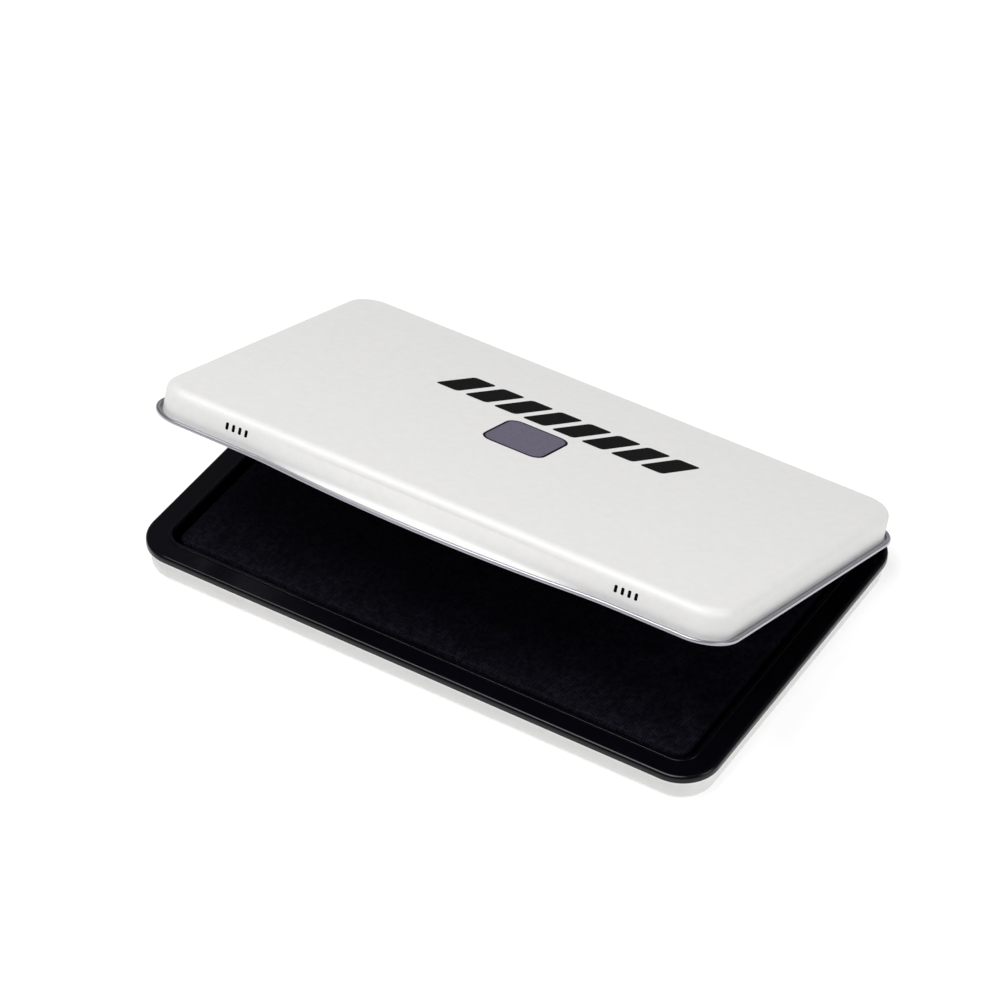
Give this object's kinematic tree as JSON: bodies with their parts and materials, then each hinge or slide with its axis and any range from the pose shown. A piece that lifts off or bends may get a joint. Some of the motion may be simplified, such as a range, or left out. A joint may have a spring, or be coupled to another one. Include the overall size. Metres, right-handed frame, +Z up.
{
  "type": "ink pad",
  "caption": "Flat hinged tin ink pad: white steel case and lid, black inner frame with a cloth-covered inked pad, bright curled lid rim and a thumb lip.",
  "frame": {"origin": "centre of the lower case's flat underside", "axes": "+X along the long side to the right, -Y towards the thumb lip, +Y towards the hinges, +Z up"},
  "size_m": [0.12, 0.0791, 0.0392],
  "materials": {
    "white_paint": "satin pearl white enamel",
    "black_tray": "glossy black",
    "grey_board": "plain board",
    "inked_felt": "ink-soaked felt",
    "inked_cloth": "fine plain weave, damp with black ink",
    "bright_steel": "plated",
    "pin_steel": "drawn wire",
    "bright_tinplate": "bright tinplate"
  },
  "bodies": {
    "case": {"base_cover": "white_paint", "pad_tray": "black_tray", "backing_board": "grey_board", "felt_pad": "inked_felt", "pad_cloth": "inked_cloth", "base_hinge_leaf_left": "bright_steel", "base_hinge_leaf_right": "bright_steel", "hinge_pin_left": "pin_steel", "hinge_pin_right": "pin_steel"},
    "lid": {"lid_cover": "white_paint", "lid_liner": "bright_tinplate", "lid_hinge_leaf_left": "bright_steel", "lid_hinge_leaf_right": "bright_steel"}
  },
  "joints": [
    {"name": "lid_hinge", "type": "hinge", "parent": "case", "child": "lid", "pos_m": [0, 0.0397, 0.00655], "axis": [-1, 0, 0], "range_deg": [-21, 159]}
  ]
}
